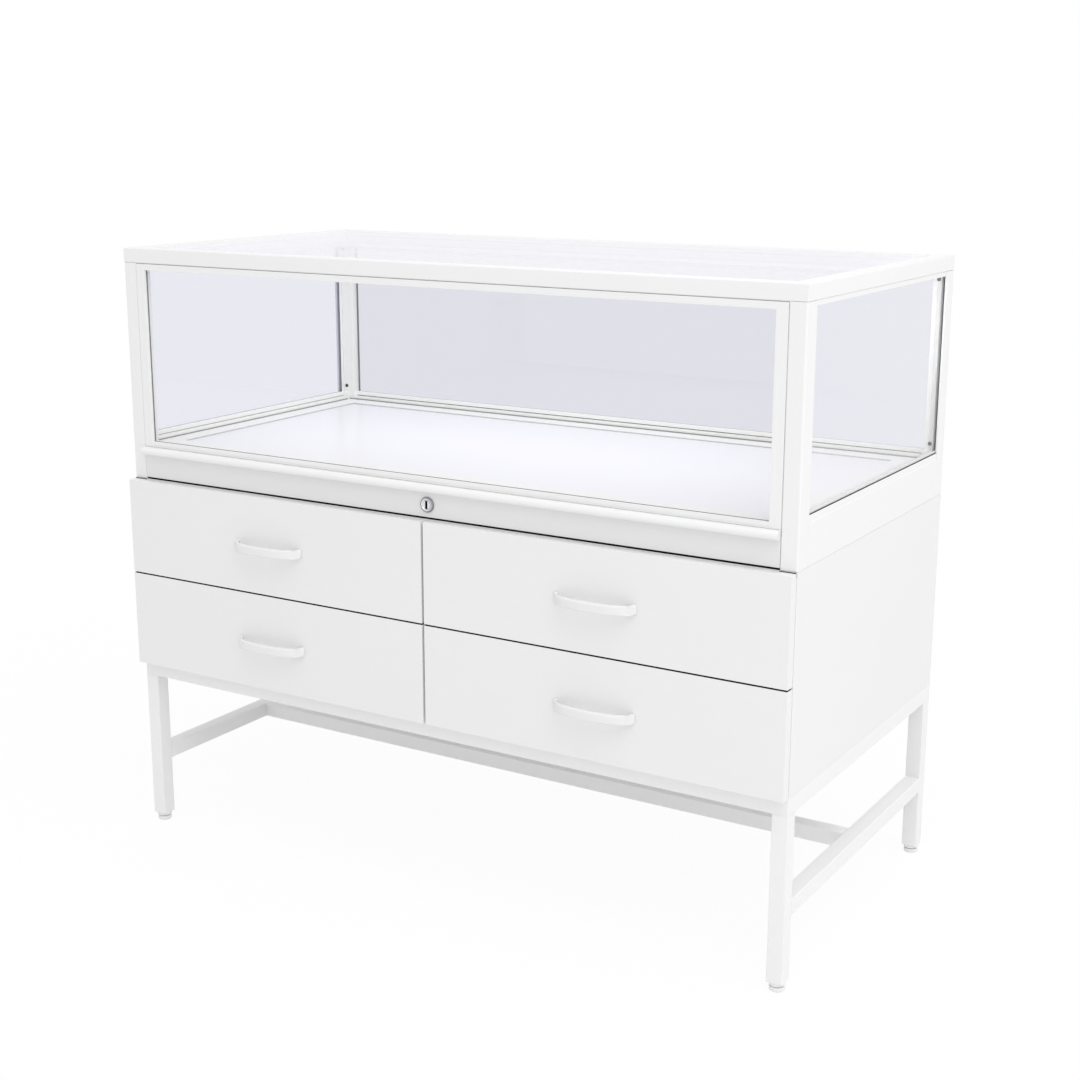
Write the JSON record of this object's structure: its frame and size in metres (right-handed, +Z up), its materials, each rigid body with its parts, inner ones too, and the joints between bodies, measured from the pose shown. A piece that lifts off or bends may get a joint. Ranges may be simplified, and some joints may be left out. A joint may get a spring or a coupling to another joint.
{
  "type": "display case with drawers",
  "caption": "White shop display case: glazed vitrine with a lockable pull-out display tray, over drawers with bow handles, on a square-tube steel base with glide feet.",
  "frame": {"origin": "On the floor, under the middle of the whole case with its handles", "axes": "+X is the viewer's right when facing the drawers, +Y runs from the front to the back, +Z is up"},
  "size_m": [1.2, 0.6293, 1],
  "materials": {
    "powder_coated_steel": "satin white powder coat",
    "vitrine_frame": "satin white powder coat on extruded frame sections",
    "handle_metal": "satin white powder coat",
    "lacquered_board": "satin white lacquer on board",
    "drawer_box_board": "matte white board",
    "deck_board": "gloss white laminate on board",
    "vitrine_glass": "clear polished float glass",
    "lock_chrome": "polished chrome plate",
    "runner_steel": "zinc-plated steel",
    "foot_plastic": "matte white plastic"
  },
  "bodies": {
    "case": {"base_rail_front": "powder_coated_steel", "base_rail_rear": "powder_coated_steel", "base_rail_left": "powder_coated_steel", "base_rail_right": "powder_coated_steel", "leg_front_left": "powder_coated_steel", "leg_front_right": "powder_coated_steel", "leg_rear_left": "powder_coated_steel", "leg_rear_right": "powder_coated_steel", "side_stretcher_left": "powder_coated_steel", "side_stretcher_right": "powder_coated_steel", "centre_stretcher": "powder_coated_steel", "foot_front_left": "foot_plastic", "foot_front_right": "foot_plastic", "foot_rear_left": "foot_plastic", "foot_rear_right": "foot_plastic", "cabinet_side_left": "lacquered_board", "cabinet_side_right": "lacquered_board", "cabinet_bottom": "lacquered_board", "cabinet_top": "lacquered_board", "cabinet_back": "lacquered_board", "cabinet_divider": "lacquered_board", "runner_side_left": "runner_steel", "runner_divider_left": "runner_steel", "runner_divider_right": "runner_steel", "runner_side_right": "runner_steel", "post_front_left": "vitrine_frame", "post_front_right": "vitrine_frame", "post_rear_left": "vitrine_frame", "post_rear_right": "vitrine_frame", "top_frame": "vitrine_frame", "bottom_rail_left": "vitrine_frame", "bottom_rail_right": "vitrine_frame", "bottom_rail_rear": "vitrine_frame", "glass_top": "vitrine_glass", "glass_left": "vitrine_glass", "glass_right": "vitrine_glass", "glass_rear": "vitrine_glass", "tray_channel_left": "runner_steel", "tray_channel_right": "runner_steel", "lock_strike": "runner_steel"},
    "drawer_upper_left": {"drawer_upper_left_front": "lacquered_board", "drawer_upper_left_box": "drawer_box_board", "drawer_upper_left_handle": "handle_metal"},
    "drawer_upper_right": {"drawer_upper_right_front": "lacquered_board", "drawer_upper_right_box": "drawer_box_board", "drawer_upper_right_handle": "handle_metal"},
    "drawer_lower_left": {"drawer_lower_left_front": "lacquered_board", "drawer_lower_left_box": "drawer_box_board", "drawer_lower_left_handle": "handle_metal"},
    "drawer_lower_right": {"drawer_lower_right_front": "lacquered_board", "drawer_lower_right_box": "drawer_box_board", "drawer_lower_right_handle": "handle_metal"},
    "display_tray": {"tray_front_frame": "vitrine_frame", "tray_front_glass": "vitrine_glass", "tray_lock_rail": "vitrine_frame", "tray_deck": "deck_board", "tray_side_left": "vitrine_frame", "tray_side_right": "vitrine_frame", "lock_body": "lock_chrome"},
    "lock_cam": {"lock_plug": "lock_chrome"}
  },
  "joints": [
    {"name": "drawer_upper_left_slide", "type": "slide", "parent": "case", "child": "drawer_upper_left", "axis": [0, -1, 0], "range_m": [0, 0.4]},
    {"name": "drawer_upper_right_slide", "type": "slide", "parent": "case", "child": "drawer_upper_right", "axis": [0, -1, 0], "range_m": [0, 0.4]},
    {"name": "drawer_lower_left_slide", "type": "slide", "parent": "case", "child": "drawer_lower_left", "axis": [0, -1, 0], "range_m": [0, 0.4]},
    {"name": "drawer_lower_right_slide", "type": "slide", "parent": "case", "child": "drawer_lower_right", "axis": [0, -1, 0], "range_m": [0, 0.4]},
    {"name": "display_tray_slide", "type": "slide", "parent": "case", "child": "display_tray", "axis": [0, -1, 0], "range_m": [0, 0.35]},
    {"name": "lock_turn", "type": "hinge", "parent": "display_tray", "child": "lock_cam", "pos_m": [0, -0.26935, 0.6405], "axis": [0, 1, 0], "range_deg": [0, 90]}
  ]
}
